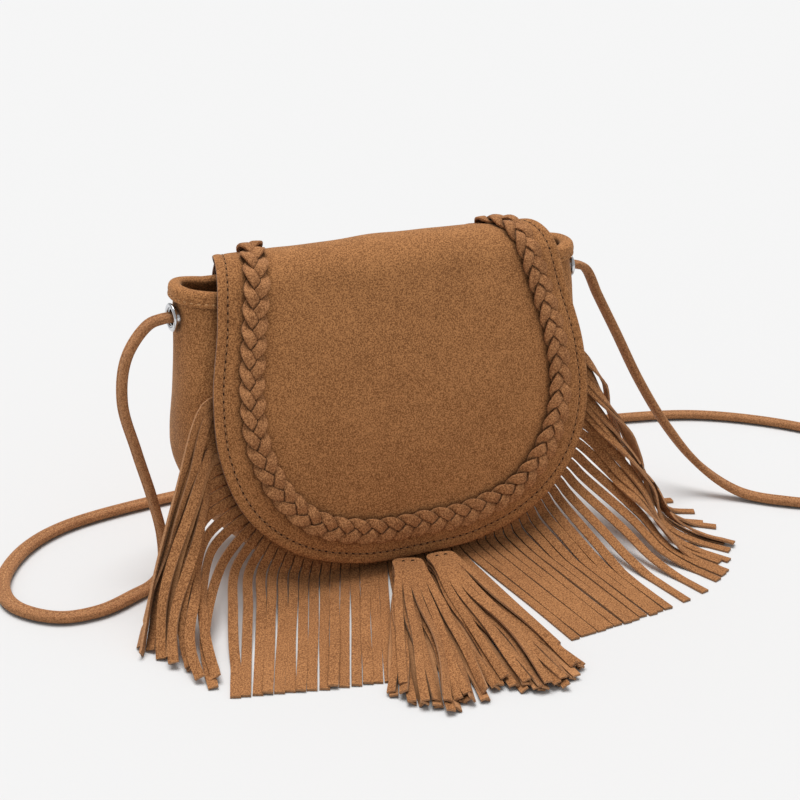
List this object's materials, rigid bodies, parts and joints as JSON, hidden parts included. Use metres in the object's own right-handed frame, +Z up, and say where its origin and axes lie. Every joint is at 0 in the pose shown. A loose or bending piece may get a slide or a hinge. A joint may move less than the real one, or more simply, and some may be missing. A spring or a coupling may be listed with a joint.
{
  "type": "fringed shoulder bag",
  "caption": "Suede crossbody bag with a rounded fold-over flap, plaited trim, strip fringe round the front, hanging tassels and a thin shoulder strap.",
  "frame": {"origin": "on the floor under the middle of the bag's base", "axes": "+X to the bag's right as seen from the front, -Y the front with the flap, +Z up"},
  "size_m": [0.5324, 0.2581, 0.1664],
  "materials": {
    "suede": "brushed suede nap",
    "lining_cloth": "plain woven cloth",
    "metal": "polished"
  },
  "bodies": {
    "bag": {"front_panel": "suede", "back_panel": "suede", "gusset": "suede", "lining": "lining_cloth", "mouth_binding": "suede", "fringe_band": "suede", "eyelet_left": "metal", "eyelet_right": "metal", "eyelet_washer_left": "metal", "eyelet_washer_right": "metal", "strap": "suede", "strap_knot_left": "suede", "strap_knot_right": "suede", "tassel_left": "suede", "tassel_right": "suede", "tassel_lace": "suede", "lace_loop": "suede"},
    "flap": {"flap": "suede", "flap_lining": "lining_cloth", "braid_strand_1": "suede", "braid_strand_2": "suede", "braid_strand_3": "suede"}
  },
  "joints": [
    {"name": "flap_hinge", "type": "hinge", "parent": "bag", "child": "flap", "pos_m": [0, 0.0381, 0.1244], "axis": [-1, 0, 0], "range_deg": [0, 150]}
  ]
}
